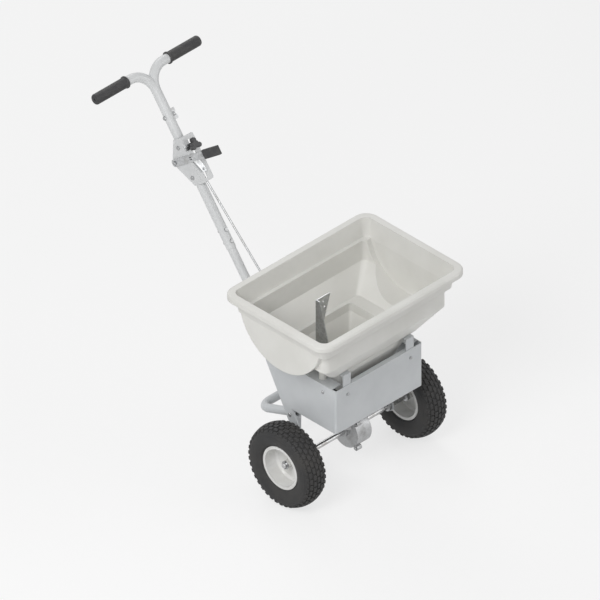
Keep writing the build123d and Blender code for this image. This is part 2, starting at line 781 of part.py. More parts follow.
case_radius = gear_pitch + tooth_addendum + case_gap
neck_radius = pinion_pitch + tooth_addendum + neck_gap
case_far = gear_end + case_end_gap
ear_ring = (case_radius + case_wall + 3 * ear_radius / 4) / 2 ** 0.5
ear_spots = [(y, axle_z + z) for y in (-ear_ring, ear_ring) for z in (-ear_ring, ear_ring)]
with BuildPart() as gear_case:
    with Locations(along((-case_near - case_wall, 0, axle_z), (1, 0, 0))):
        Cylinder(case_radius + case_wall, case_near + case_far + 2 * case_wall, align=from_end)
    with Locations(along((-case_near - case_wall - case_boss, 0, axle_z), (1, 0, 0))):
        Cylinder(case_boss_radius, case_near + case_far + 2 * (case_wall + case_boss), align=from_end)
    with Locations((0, 0, axle_z + neck_start)):
        Cylinder(neck_radius + case_wall, neck_height - neck_start, align=from_end)
    with Locations(*[along((0, y, z), (1, 0, 0)) for y, z in ear_spots]):
        Cylinder(ear_radius, 2 * case_ear)
    with Locations(along((-case_near, 0, axle_z), (1, 0, 0))):
        Cylinder(case_radius, case_near + case_far, align=from_end, mode=Mode.SUBTRACT)
    with Locations((0, 0, axle_z + neck_start + case_wall)):
        Cylinder(neck_radius, pinion_end + case_end_gap - neck_start - case_wall, align=from_end,
                 mode=Mode.SUBTRACT)
    with Locations((0, 0, axle_z + neck_height)):
        Cylinder(neck_bush_radius + seat_gap, 2 * (neck_height - pinion_end), mode=Mode.SUBTRACT)
    with Locations(along((0, 0, axle_z), (1, 0, 0))):
        Cylinder(axle_radius + running_gap, 4 * case_far, mode=Mode.SUBTRACT)
    with Locations(*[along((0, y, z), (1, 0, 0)) for y, z in ear_spots]):
        Cylinder(small_bolt_radius + hole_gap, 4 * case_ear, mode=Mode.SUBTRACT)
for node, keep in (("gearbox_half_left", Keep.TOP), ("gearbox_half_right", Keep.BOTTOM)):
    with BuildPart() as gearbox_half:
        add(gear_case.part)
        split(bisect_by=Plane.YZ, keep=keep)
    write(gearbox_half, node)

with BuildPart() as gearbox_screws:
    with Locations(*[along((-case_ear, y, z), (1, 0, 0)) for y, z in ear_spots]):
        add(small_bolt(2 * case_ear + small_head_height, nut=True))
write(gearbox_screws, "gearbox_screws")

with BuildPart() as neck_bush:
    with Locations((0, 0, axle_z + neck_height - neck_bush_length)):
        add(tube(neck_bush_radius, shaft_radius + running_gap, neck_bush_length))
    with Locations((0, 0, axle_z + neck_height)):
        add(tube(neck_bush_radius + neck_bush_flange, shaft_radius + running_gap, neck_bush_rim))
write(neck_bush, "neck_bush")

with BuildPart() as floor_bush:
    with Locations((0, 0, floor_z)):
        add(tube(floor_bush_radius, shaft_radius + running_gap, hopper_wall + floor_bush_height))
    with Locations((0, 0, inner_floor_z)):
        add(tube(floor_bush_radius + floor_bush_flange, shaft_radius + running_gap, floor_bush_rim))
write(floor_bush, "floor_bush")

# Upright shaft with the spinning plate under the gate and the agitator in the sump.
shaft_low = axle_z + gear_pitch * inner_share
impeller_pin_z = impeller_z - impeller_hub_drop / 2
with BuildPart() as impeller_shaft:
    with Locations((0, 0, shaft_low)):
        Cylinder(shaft_radius, shaft_top - shaft_low, align=from_end)
    with Locations(along((0, 0, impeller_pin_z), (1, 0, 0))):
        Cylinder(impeller_pin_radius + seat_gap, 3 * shaft_radius, mode=Mode.SUBTRACT)
write(impeller_shaft, "impeller_shaft")

with BuildPart() as impeller:
    with Locations((0, 0, impeller_z)):
        Cylinder(impeller_radius, impeller_disc, align=from_end)
    with Locations((0, 0, impeller_z - impeller_hub_drop)):
        Cylinder(impeller_hub_radius, impeller_hub_height, align=from_end)
    with Locations((0, 0, impeller_z + impeller_disc)):
        with PolarLocations(fin_start, impeller_fins):
            Box(impeller_radius - fin_start - fin_thickness, fin_thickness, fin_height,
                align=(Align.MIN, Align.CENTER, Align.MIN))
    with Locations((0, 0, impeller_z)):
        Cylinder(shaft_radius + seat_gap, 4 * impeller_hub_height, mode=Mode.SUBTRACT)
    with Locations(along((0, 0, impeller_pin_z), (1, 0, 0))):
        Cylinder(impeller_pin_radius + seat_gap, 3 * impeller_hub_radius, mode=Mode.SUBTRACT)
write(impeller, "impeller")

with BuildPart() as impeller_pin:
    with Locations(along((0, 0, impeller_pin_z), (1, 0, 0))):
        Cylinder(impeller_pin_radius, 2 * impeller_hub_radius)
write(impeller_pin, "impeller_pin")

wire_z = agitator_z + agitator_hub_height / 2
with BuildPart() as agitator:
    with Locations((0, 0, agitator_z)):
        Cylinder(agitator_hub_radius, agitator_hub_height, align=from_end)
    with Locations(along((0, 0, wire_z), (1, 0, 0))):
        Cylinder(agitator_wire, 2 * agitator_reach)
    with Locations((-agitator_reach, 0, wire_z), (agitator_reach, 0, wire_z)):
        Sphere(agitator_wire)
        Cylinder(agitator_wire, agitator_rise, align=from_end)
    with Locations((0, 0, wire_z)):
        Cylinder(shaft_radius + seat_gap, 2 * agitator_hub_height, mode=Mode.SUBTRACT)
write(agitator, "agitator")

# Shut-off gate: at rest its slots stand forward of the ports by the opening travel.
rod_knee = on_handle(plate_slot_x, -(stem_radius + rod_clearance), slider_bolt_z)
rod_run = (rod_knee.Z - gate_top - rod_pin_rise) / sin(rod_fall)
rod_elbow = rod_knee - Vector(0, cos(rod_fall), sin(rod_fall)) * rod_run
with BuildPart() as gate_plate:
    with BuildSketch(Plane.XY.offset(gate_top - gate_thickness)):
        with Locations((0, gate_front)):
            Rectangle(gate_width, gate_rear - gate_front, align=(Align.CENTER, Align.MIN))
        with Locations((plate_slot_x, gate_rear)):
            Rectangle(gate_tab_width, rod_elbow.Y + gate_tab_margin - gate_rear, align=(Align.CENTER, Align.MIN))
        with Locations((-port_reach, -open_travel), (port_reach, -open_travel)):
            SlotOverall(port_length, 2 * port_radius, mode=Mode.SUBTRACT)
        with Locations((0, (close_travel - open_travel) / 2)):
            SlotOverall(open_travel + close_travel + 2 * (shaft_radius + shaft_slot_gap),
                        2 * (shaft_radius + shaft_slot_gap), rotation=90, mode=Mode.SUBTRACT)
        with Locations((plate_slot_x, rod_elbow.Y)):
            Circle(rod_radius + hole_gap, mode=Mode.SUBTRACT)
    extrude(amount=gate_thickness)
write(gate_plate, "gate_plate")

guide_x = gate_width / 2 + side_gap
guide_length = floor_depth - 2 * floor_corner
with BuildPart() as gate_guides:
    for side in (-1, 1):
        with BuildSketch(Plane.XZ.offset(-hopper_back)):
            with BuildLine():
                Polyline(
                    (side * guide_x, floor_z), (side * (guide_x + guide_width), floor_z),
                    (side * (guide_x + guide_width), floor_z - guide_height),
                    (side * (guide_x - guide_lip), floor_z - guide_height),
                    (side * (guide_x - guide_lip), gate_top - gate_thickness - gate_gap),
                    (side * guide_x, gate_top - gate_thickness - gate_gap), close=True)
            make_face()
        extrude(amount=guide_length / 2, both=True)
write(gate_guides, "gate_guides")

# Linkage rod: hooked through the slider at the top, cranked down through the gate's tab at the bottom.
with BuildPart() as linkage_rod:
    with BuildLine() as rod_path:
        FilletPolyline(
            on_handle(plate_slot_x, -(slider_front + rod_end), slider_bolt_z), rod_knee, rod_elbow,
            Vector(plate_slot_x, rod_elbow.Y, gate_top - gate_thickness - rod_pin_tail),
            radius=[rod_top_bend, rod_low_bend])
    with BuildSketch(Plane(origin=rod_path.line @ 0, z_dir=rod_path.line % 0)):
        Circle(rod_radius)
    sweep()
write(linkage_rod, "linkage_rod")

# Handle pieces stand in the handle's own frame, up the stem along Z.
with BuildPart() as handle_tube:
    with BuildSketch(Plane.XY.offset(tube_radius / 2)):
        Circle(tube_radius)
        Circle(tube_radius - tube_wall, mode=Mode.SUBTRACT)
    extrude(amount=stem_foot + stem_overlap - tube_radius / 2)
    with Locations(along((0, 0, 0), (1, 0, 0))):
        Cylinder(tube_radius + seat_gap, 4 * tube_radius, mode=Mode.SUBTRACT)
    with Locations(*[along((0, 0, z), (0, 1, 0)) for z in joint_bolt_spots]):
        Cylinder(bolt_radius + hole_gap, 4 * tube_radius, mode=Mode.SUBTRACT)
write(handle_tube, "handle_tube", handle_frame)

for side, node, keep in ((-1, "handlebar_right", Keep.BOTTOM), (1, "handlebar_left", Keep.TOP)):
    with BuildPart() as handlebar:
        with BuildLine():
            FilletPolyline((0, 0, stem_foot), (0, 0, stem_corner), (side * handle_half, 0, stem_corner),
                           radius=handle_bend)
        with BuildSketch(Plane.XY.offset(stem_foot)):
            Circle(stem_radius)
            Circle(stem_radius - stem_wall, mode=Mode.SUBTRACT)
        sweep()
        split(bisect_by=Plane.YZ, keep=keep)
        with Locations(*[along((0, 0, z), (0, 1, 0)) for z in joint_bolt_spots]):
            Cylinder(bolt_radius + hole_gap, 4 * stem_radius, mode=Mode.SUBTRACT)
        with Locations(*[along((0, 0, z), (1, 0, 0)) for z in (*plate_bolt_spots, clamp_bolt_z)]):
            Cylinder(bolt_radius + hole_gap, 4 * stem_radius, mode=Mode.SUBTRACT)
    write(handlebar, node, handle_frame)

with BuildPart() as grip:
    with Locations(along((handle_half - grip_length, 0, stem_corner), (1, 0, 0))):
        Cylinder(grip_radius, grip_length + grip_cap, align=from_end)
        fillet(grip.faces().sort_by(Axis.X)[-1].edges(), grip_cap * 0.8)
        Cylinder(grip_radius + grip_ring, grip_ring_width, align=from_end)
        Cylinder(stem_radius + seat_gap, grip_length, align=from_end, mode=Mode.SUBTRACT)
write(grip, "grip_left", handle_frame)
write(grip, "grip_right", handle_frame * Location((0, 0, 0), (0, 0, 180)))

with BuildPart() as joint_bolts:
    with Locations(*[along((0, -stem_radius, z), (0, 1, 0)) for z in joint_bolt_spots]):
        add(bolt(2 * stem_radius + bolt_head_height, nut=True))
write(joint_bolts, "joint_bolts", handle_frame)

with BuildPart() as clamp_bolt:
    with Locations(along((-stem_radius, 0, clamp_bolt_z), (1, 0, 0))):
        add(bolt(2 * stem_radius + wing_boss))
write(clamp_bolt, "clamp_bolt", handle_frame)

wing_foot = wing_boss / 4
with BuildPart() as wing_nut:
    add(tube(bolt_head_radius, bolt_radius + seat_gap, wing_boss))
    with Locations((bolt_head_radius - wing_thickness, 0, wing_foot)):
        Box((wing_span - 2 * bolt_head_radius) / 2 + wing_thickness, wing_thickness, wing_height,
            align=(Align.MIN, Align.CENTER, Align.MIN))
    with Locations((wing_thickness - bolt_head_radius, 0, wing_foot)):
        Box((wing_span - 2 * bolt_head_radius) / 2 + wing_thickness, wing_thickness, wing_height,
            align=(Align.MAX, Align.CENTER, Align.MIN))
    fillet(wing_nut.faces().sort_by(Axis.Z)[-2:].edges().filter_by(Axis.Y), wing_thickness)
write(wing_nut, "wing_nut", handle_frame * along((stem_radius, 0, clamp_bolt_z), (1, 0, 0)))

# Control bracket: a side plate bolted through the stem, folded to a slotted plate across its front.
with BuildPart() as control_bracket:
    with BuildSketch(Plane.YZ.offset(plate_x)):
        with Locations(((plate_rear - plate_front) / 2, (plate_low + plate_high) / 2)):
            Rectangle(plate_front + plate_rear, plate_high - plate_low)
        with Locations((pivot_reach, pivot_z)):
            Circle(pivot_round)
        make_hull()
        with Locations((pivot_reach, pivot_z), *[(0, z) for z in plate_bolt_spots]):
            Circle(bolt_radius + hole_gap, mode=Mode.SUBTRACT)
    extrude(amount=plate_sheet)
    with BuildSketch(Plane.XZ.offset(plate_reach)):
        with Locations((plate_x, plate_low)):
            Rectangle(plate_width, plate_high - plate_low, align=(Align.MIN, Align.MIN))
        fillet(vertices().group_by(Axis.X)[-1], plate_corner)
        with Locations((plate_slot_x, (plate_slot_low + plate_slot_high) / 2)):
            SlotOverall(plate_slot_high - plate_slot_low, 2 * plate_slot_radius, rotation=90, mode=Mode.SUBTRACT)
    extrude(amount=plate_sheet)
write(control_bracket, "control_bracket", handle_frame)

with BuildPart() as bracket_bolts:
    with Locations(*[along((plate_x, 0, z), (1, 0, 0)) for z in plate_bolt_spots]):
        add(bolt(stem_radius - plate_x + bolt_head_height, nut=True))
write(bracket_bolts, "bracket_bolts", handle_frame)

with BuildPart() as lever_pivot_bolt:
    with Locations(along((lever_outer_x - side_gap, pivot_reach, pivot_z), (1, 0, 0))):
        add(bolt(plate_x + plate_sheet - lever_outer_x + side_gap + bolt_head_height, nut=True))
write(lever_pivot_bolt, "lever_pivot_bolt", handle_frame)

# Shut-off lever, its grip, and the rivet beside the grip.
grip_back = lever_tip - lever_grip_length
lever_mid_x = (lever_inner_x + lever_outer_x) / 2
with BuildPart() as control_lever:
    with BuildSketch(Plane.YZ.offset(lever_outer_x)):
        with Locations(((lever_tail - lever_tip) / 2, pivot_z)):
            RectangleRounded(lever_tail + lever_tip, lever_width, lever_round)
        with Locations((pivot_reach, pivot_z)):
            Circle(bolt_radius + running_gap, mode=Mode.SUBTRACT)
        with Locations((-slider_mid - lever_slot_shift, pivot_z)):
            SlotCenterToCenter(lever_slot_travel, 2 * (lever_pin_radius + lever_slot_slack), mode=Mode.SUBTRACT)
        with Locations((rivet_inset - grip_back, pivot_z)):
            Circle(small_bolt_radius + seat_gap, mode=Mode.SUBTRACT)
    extrude(amount=lever_thickness)
write(control_lever, "control_lever", handle_frame)

with BuildPart() as lever_grip:
    with Locations((lever_mid_x, -lever_tip - lever_grip_wall, pivot_z)):
        Box(lever_thickness + 2 * lever_grip_wall, lever_grip_length + lever_grip_wall,
            lever_width + 2 * lever_grip_wall, align=(Align.CENTER, Align.MIN, Align.CENTER))
    fillet(lever_grip.edges(), lever_grip_wall * 0.8)
    with Locations((lever_mid_x, -lever_tip, pivot_z)):
        Box(lever_thickness + 2 * seat_gap, lever_tip, lever_width + 2 * seat_gap,
            align=(Align.CENTER, Align.MIN, Align.CENTER), mode=Mode.SUBTRACT)
write(lever_grip, "lever_grip", handle_frame)

with BuildPart() as lever_rivet:
    with Locations(along((lever_outer_x, rivet_inset - grip_back, pivot_z), (1, 0, 0))):
        Cylinder(small_bolt_radius, lever_thickness, align=from_end)
        Cylinder(small_head_radius, small_head_height / 2, align=(Align.CENTER, Align.CENTER, Align.MAX))
write(lever_rivet, "lever_rivet", handle_frame)

# Slider: carries the rod's hooked end in front of the slotted plate, with a pin in the lever's slot.
slider_left = plate_x - side_gap / 2
with BuildPart() as rod_slider:
    with BuildSketch(Plane.XZ.offset(slider_back)):
        with BuildLine():
            Polyline(
                (plate_slot_x - slider_half, slider_low), (plate_slot_x + slider_half, slider_low),
                (plate_slot_x + slider_half, slider_bolt_z + slider_half),
                (slider_left + 2 * slider_half, slider_high),
                (slider_left, slider_high), (slider_left, pivot_z - slider_half), close=True)
        make_face()
        with Locations((plate_slot_x, slider_bolt_z)):
            Circle(rod_radius + seat_gap, mode=Mode.SUBTRACT)
    extrude(amount=slider_sheet)
    with Locations(along((slider_left, -slider_mid, pivot_z), (-1, 0, 0))):
        Cylinder(lever_pin_radius, slider_left - lever_outer_x + lever_pin_end, align=from_end)
write(rod_slider, "rod_slider", handle_frame)

# Rate stop: a block on a stud through the slotted plate, and the knob that locks it.
stud_low = plate_reach - side_gap - stud_washer
with BuildPart() as stop_plate:
    with Locations((plate_slot_x + stop_right, -stop_back, stop_z)):
        Box(plate_slot_x + stop_right - lever_outer_x + stop_overhang, stop_sheet, stop_height,
            align=(Align.MAX, Align.MAX, Align.MIN))
    with Locations(along((plate_slot_x, -stud_low, stop_mid_z), (0, -1, 0))):
        Cylinder(stud_radius, knob_back + knob_stand_off + stud_bite - stud_low, align=from_end)
        Cylinder(stud_washer_radius, stud_washer, align=from_end)
write(stop_plate, "stop_plate", handle_frame)

with BuildPart() as stop_knob:
    with BuildSketch(Plane.XZ.offset(knob_back + knob_stand_off)):
        with Locations((plate_slot_x, stop_mid_z)):
            Circle(knob_core_radius)
            with PolarLocations(knob_lobe_reach, knob_lobes, start_angle=90):
                Circle(knob_lobe_radius)
    extrude(amount=knob_thickness)
    fillet(stop_knob.faces().sort_by(Axis.Y)[0].edges(), knob_round)
    with Locations(along((plate_slot_x, -knob_back, stop_mid_z), (0, -1, 0))):
        Cylinder(knob_neck_radius, knob_stand_off, align=from_end)
        Cylinder(stud_radius + running_gap, knob_stand_off + stud_bite + side_gap, align=from_end,
                 mode=Mode.SUBTRACT)
write(stop_knob, "stop_knob", handle_frame)
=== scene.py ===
import bpy
import json
import math
from mathutils import Matrix, Vector


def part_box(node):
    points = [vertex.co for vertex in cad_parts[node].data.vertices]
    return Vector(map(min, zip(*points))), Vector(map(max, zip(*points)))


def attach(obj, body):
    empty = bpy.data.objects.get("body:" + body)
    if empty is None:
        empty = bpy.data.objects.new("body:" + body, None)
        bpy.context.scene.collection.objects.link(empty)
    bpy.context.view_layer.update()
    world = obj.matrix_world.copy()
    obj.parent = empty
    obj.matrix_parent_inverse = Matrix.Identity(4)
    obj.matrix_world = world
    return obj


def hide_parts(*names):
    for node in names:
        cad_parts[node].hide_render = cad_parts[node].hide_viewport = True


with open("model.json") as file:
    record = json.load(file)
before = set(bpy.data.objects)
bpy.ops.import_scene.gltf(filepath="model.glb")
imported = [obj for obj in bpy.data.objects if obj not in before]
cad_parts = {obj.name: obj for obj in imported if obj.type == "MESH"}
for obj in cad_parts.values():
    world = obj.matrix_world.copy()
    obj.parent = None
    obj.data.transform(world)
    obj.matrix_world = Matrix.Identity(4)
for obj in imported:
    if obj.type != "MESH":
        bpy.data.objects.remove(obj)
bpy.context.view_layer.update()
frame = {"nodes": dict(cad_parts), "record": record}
nodes = frame["nodes"]
mm = 0.001
print("frame loaded with", len(nodes), "nodes")

# Camera: the drawing is a true isometric view, so the camera is orthographic on the cube's diagonal
view = {
    "target": (0.0, -0.1225, 0.4799),
    "back": (-1.0, -1.0, 1.0),
    "distance": 4.0,
    "clipEnd": 30.0,
    "frameWidth": 1.689,
}
look = Vector(view["back"]).normalized()
bpy.ops.object.select_all(action="DESELECT")
bpy.ops.object.camera_add(
    location=Vector(view["target"]) + look * view["distance"],
    rotation=(-look).to_track_quat("-Z", "Y").to_euler())
camera = bpy.context.object
camera.name = "isoCamera"
camera.data.type = "ORTHO"
camera.data.ortho_scale = view["frameWidth"]
camera.data.clip_end = view["clipEnd"]
bpy.context.scene.camera = camera
bpy.context.scene.view_settings.view_transform = "Standard"
print("camera placed")


# A socket of a node tree that can be added, multiplied and passed on to the next node
class Wire:
    def __init__(self, tree, socket=None):
        self.tree = tree
        self.socket = socket

    def node(self, kind, settings=None, sockets=None, out=0):
        made = self.tree.nodes.new("ShaderNode" + kind)
        for key, value in (settings or {}).items():
            if key == "stops":
                for element, (spot, tone) in zip(made.color_ramp.elements, value):
                    element.position = spot
                    element.color = (tone, tone, tone, 1)
            else:
                setattr(made, key, value)
        for key, value in (sockets or {}).items():
            if isinstance(value, Wire):
                self.tree.links.new(value.socket, made.inputs[key])
            else:
                made.inputs[key].default_value = value
        return Wire(self.tree, made.outputs[out] if len(made.outputs) else None)

    def math(self, operation, other, flip=False):
        first, second = (other, self) if flip else (self, other)
        return self.node("Math", {"operation": operation}, {0: first, 1: second})

    def __add__(self, other):
        return self.math("ADD", other)

    def __mul__(self, other):
        return self.math("MULTIPLY", other)

    def __rsub__(self, other):
        return self.math("SUBTRACT", other, True)


def newFinish(name):
    material = bpy.data.materials.new(name)
    material.use_nodes = True
    material.node_tree.nodes.clear()
    return material, Wire(material.node_tree)


def closeFinish(wire, sockets):
    shader = wire.node("BsdfPrincipled", {}, sockets)
    wire.node("OutputMaterial", {}, {"Surface": shader})


def cloud(wire, place, scale, detail=3.0, rough=0.55):
    sockets = {"Vector": place, "Scale": scale, "Detail": detail, "Roughness": rough}
    return wire.node("TexNoise", {}, sockets)


def band(wire, value, low, high):
    # black below low, white above high
    return wire.node("ValToRGB", {"stops": ((low, 0.0), (high, 1.0))}, {"Fac": value})


def blend(wire, share, first, second):
    # a Mix node has its colours at sockets 6 and 7, and the mixed colour at output 2
    return wire.node("Mix", {"data_type": "RGBA"}, {0: share, 6: first, 7: second}, 2)


def paint(red, green, blue):
    return (red, green, blue, 1.0)


def softEdge(wire, radius, samples=4):
    return wire.node("Bevel", {"samples": samples}, {"Radius": radius})


def relief(wire, height, soft, strength):
    sockets = {"Height": height, "Distance": 1.0, "Strength": strength, "Normal": soft}
    return wire.node("Bump", {}, sockets)


def edgeMask(wire, soft, low, high):
    # bright where the rounded normal leaves the flat one
    flat = wire.node("NewGeometry", {}, {}, "Normal")
    facing = wire.node("VectorMath", {"operation": "DOT_PRODUCT"}, {0: soft, 1: flat}, "Value")
    return band(wire, 1 - facing, low, high)


# Coated and moulded finishes: colour drift, broken edge wear, and a fine skin over a slow wave, at real size
finishes = {
    "hopper_poly": {
        "base": paint(0.76, 0.755, 0.725), "drift": paint(0.70, 0.695, 0.66), "driftScale": 6.0,
        "worn": paint(0.62, 0.615, 0.59), "edge": 2.2 * mm, "wear": (0.03, 0.35), "wearBreak": (0.46, 0.66),
        "rough": 0.40, "roughSpread": 0.18, "roughScale": 14.0,
        "bumpScale": 620.0, "bumpDepth": 0.10 * mm, "waveScale": 26.0, "waveDepth": 0.5 * mm,
    },
    "powder_coat": {
        "base": paint(0.60, 0.62, 0.635), "drift": paint(0.555, 0.575, 0.59), "driftScale": 9.0,
        "worn": paint(0.40, 0.40, 0.40), "edge": 1.2 * mm, "wear": (0.05, 0.45), "wearBreak": (0.52, 0.68),
        "rough": 0.34, "roughSpread": 0.16, "roughScale": 20.0,
        "bumpScale": 760.0, "bumpDepth": 0.06 * mm, "waveScale": 120.0, "waveDepth": 0.08 * mm,
    },
    "handle_coat": {
        "base": paint(0.70, 0.71, 0.715), "drift": paint(0.65, 0.66, 0.665), "driftScale": 11.0,
        "worn": paint(0.45, 0.45, 0.45), "edge": 0.9 * mm, "wear": (0.05, 0.5), "wearBreak": (0.5, 0.68),
        "rough": 0.30, "roughSpread": 0.16, "roughScale": 24.0,
        "bumpScale": 800.0, "bumpDepth": 0.05 * mm, "waveScale": 140.0, "waveDepth": 0.06 * mm,
    },
    "rim_paint": {
        "base": paint(0.78, 0.78, 0.77), "drift": paint(0.71, 0.705, 0.685), "driftScale": 16.0,
        "worn": paint(0.36, 0.33, 0.30), "edge": 1.2 * mm, "wear": (0.08, 0.5), "wearBreak": (0.54, 0.68),
        "rough": 0.24, "roughSpread": 0.22, "roughScale": 30.0,
        "bumpScale": 600.0, "bumpDepth": 0.04 * mm, "waveScale": 90.0, "waveDepth": 0.1 * mm,
    },
    "bush_nylon": {
        "base": paint(0.70, 0.69, 0.64), "drift": paint(0.62, 0.61, 0.56), "driftScale": 40.0,
        "worn": paint(0.5, 0.49, 0.45), "edge": 0.6 * mm, "wear": (0.05, 0.5), "wearBreak": (0.45, 0.65),
        "rough": 0.42, "roughSpread": 0.16, "roughScale": 60.0,
        "bumpScale": 900.0, "bumpDepth": 0.04 * mm, "waveScale": 160.0, "waveDepth": 0.04 * mm,
    },
    "impeller_plastic": {
        "base": paint(0.105, 0.11, 0.115), "drift": paint(0.14, 0.14, 0.142), "driftScale": 18.0,
        "worn": paint(0.26, 0.26, 0.25), "edge": 0.7 * mm, "wear": (0.05, 0.5), "wearBreak": (0.45, 0.65),
        "rough": 0.42, "roughSpread": 0.2, "roughScale": 26.0,
        "bumpScale": 800.0, "bumpDepth": 0.06 * mm, "waveScale": 90.0, "waveDepth": 0.08 * mm,
    },
    "knob_plastic": {
        "base": paint(0.028, 0.028, 0.030), "drift": paint(0.045, 0.045, 0.046), "driftScale": 60.0,
        "worn": paint(0.13, 0.13, 0.13), "edge": 0.8 * mm, "wear": (0.05, 0.5), "wearBreak": (0.45, 0.65),
        "rough": 0.36, "roughSpread": 0.16, "roughScale": 90.0,
        "bumpScale": 1400.0, "bumpDepth": 0.05 * mm, "waveScale": 240.0, "waveDepth": 0.03 * mm,
    },
    "grip_rubber": {
        "base": paint(0.030, 0.030, 0.032), "drift": paint(0.052, 0.051, 0.050), "driftScale": 32.0,
        "worn": paint(0.12, 0.118, 0.112), "edge": 0.8 * mm, "wear": (0.05, 0.5), "wearBreak": (0.44, 0.64),
        "rough": 0.58, "roughSpread": 0.2, "roughScale": 70.0,
        "bumpScale": 1500.0, "bumpDepth": 0.10 * mm, "waveScale": 420.0, "waveDepth": 0.08 * mm,
    },
}


# What all the coated finishes share; breakScale is a multiple of a finish's driftScale
coat = {
    "driftDetail": 4.0, "driftBand": (0.36, 0.64),
    "breakScale": 9.0, "breakDetail": 5.0, "breakRough": 0.65,
    "handledDetail": 5.0, "handledRough": 0.6, "wornRough": 0.18,
    "skinDetail": 2.0, "swayDetail": 1.0, "bumpStrength": 0.7,
}


def coatedFinish(name, spec):
    material, wire = newFinish(name)
    place = wire.node("TexCoord", {}, {}, "Object")
    drift = cloud(wire, place, spec["driftScale"], coat["driftDetail"])
    colour = blend(wire, band(wire, drift, *coat["driftBand"]), spec["base"], spec["drift"])
    soft = softEdge(wire, spec["edge"])
    speckScale = spec["driftScale"] * coat["breakScale"]
    specks = cloud(wire, place, speckScale, coat["breakDetail"], coat["breakRough"])
    broken = band(wire, specks, *spec["wearBreak"])
    wear = edgeMask(wire, soft, *spec["wear"]) * broken
    colour = blend(wire, wear, colour, spec["worn"])
    handled = cloud(wire, place, spec["roughScale"], coat["handledDetail"], coat["handledRough"])
    smoothest = spec["rough"] - spec["roughSpread"] / 2
    rough = handled * spec["roughSpread"] + smoothest + wear * coat["wornRough"]
    skin = cloud(wire, place, spec["bumpScale"], coat["skinDetail"])
    sway = cloud(wire, place, spec["waveScale"], coat["swayDetail"])
    height = skin * spec["bumpDepth"] + sway * spec["waveDepth"]
    bump = relief(wire, height, soft, coat["bumpStrength"])
    closeFinish(wire, {"Base Color": colour, "Roughness": rough, "Normal": bump})
    return material


# Bare, cast and plated metal: spangle cells, tarnish in colour and roughness, turning marks where lathe is set
metals = {
    "plated_sheet": {
        "base": paint(0.60, 0.61, 0.615), "drift": paint(0.47, 0.48, 0.49), "cell": 170.0,
        "tarnish": paint(0.38, 0.375, 0.36), "rough": 0.34, "roughSpread": 0.22, "edge": 0.6 * mm,
        "bumpScale": 900.0, "bumpDepth": 0.03 * mm, "lathe": 0.0,
    },
    "plated_fastener": {
        "base": paint(0.42, 0.425, 0.43), "drift": paint(0.38, 0.385, 0.39), "cell": 320.0,
        "tarnish": paint(0.28, 0.27, 0.255), "rough": 0.40, "roughSpread": 0.08, "edge": 0.35 * mm,
        "bumpScale": 1200.0, "bumpDepth": 0.006 * mm, "lathe": 0.0,
    },
    "bright_steel": {
        "base": paint(0.55, 0.555, 0.56), "drift": paint(0.48, 0.48, 0.48), "cell": 500.0,
        "tarnish": paint(0.31, 0.28, 0.25), "rough": 0.26, "roughSpread": 0.24, "edge": 0.4 * mm,
        "bumpScale": 1400.0, "bumpDepth": 0.006 * mm, "lathe": 0.012 * mm,
    },
    "case_metal": {
        "base": paint(0.50, 0.505, 0.51), "drift": paint(0.42, 0.425, 0.43), "cell": 420.0,
        "tarnish": paint(0.29, 0.285, 0.275), "rough": 0.50, "roughSpread": 0.18, "edge": 1.4 * mm,
        "bumpScale": 700.0, "bumpDepth": 0.16 * mm, "lathe": 0.0,
    },
}


# What all the metals share: the tarnish, then spangle, grain and turning rings
metalAge = {
    "scale": 34.0, "detail": 6.0, "rough": 0.62, "band": (0.5, 0.74), "tint": 0.7,
    "spangleShare": 0.5, "roughDrop": 0.06, "grainDetail": 2.0,
    "ringScale": 260.0, "ringBend": 1.0, "bumpStrength": 0.6,
}


def metalFinish(name, spec):
    material, wire = newFinish(name)
    place = wire.node("TexCoord", {}, {}, "Object")
    cells = wire.node("TexVoronoi", {}, {"Vector": place, "Scale": spec["cell"]}, "Color")
    spangle = wire.node("SeparateColor", {}, {"Color": cells})
    colour = blend(wire, spangle, spec["base"], spec["drift"])
    stain = cloud(wire, place, metalAge["scale"], metalAge["detail"], metalAge["rough"])
    aged = band(wire, stain, *metalAge["band"])
    colour = blend(wire, aged * metalAge["tint"], colour, spec["tarnish"])
    spread = spec["roughSpread"]
    smoothest = spec["rough"] - metalAge["roughDrop"]
    rough = spangle * (spread * metalAge["spangleShare"]) + aged * spread + smoothest
    height = cloud(wire, place, spec["bumpScale"], metalAge["grainDetail"]) * spec["bumpDepth"]
    if spec["lathe"]:
        sockets = {"Vector": place, "Scale": metalAge["ringScale"], "Distortion": metalAge["ringBend"]}
        rings = wire.node("TexWave", {"bands_direction": "X"}, sockets)
        height = height + rings * spec["lathe"]
    bump = relief(wire, height, softEdge(wire, spec["edge"]), metalAge["bumpStrength"])
    closeFinish(wire, {"Base Color": colour, "Roughness": rough, "Metallic": 1.0, "Normal": bump})
    return material


# Tyre rubber: grey bloom, and pale scuffs on the edges of the blocks
tyreLook = {
    "rubber": paint(0.020, 0.020, 0.021), "rough": 0.62,
    "bloom": paint(0.048, 0.046, 0.044), "bloomRough": 0.16,
    "bloomScale": 12.0, "bloomDetail": 5.0, "bloomGrain": 0.6, "bloomBand": (0.38, 0.68),
    "dust": paint(0.16, 0.145, 0.125), "dustShare": 0.55, "dustRough": 0.1,
    "edge": 0.8 * mm, "wear": (0.05, 0.5), "wearScale": 90.0, "wearDetail": 5.0, "wearBreak": (0.42, 0.66),
    "bumpScale": 1300.0, "bumpDetail": 3.0, "bumpDepth": 0.12 * mm, "bumpStrength": 0.8,
}


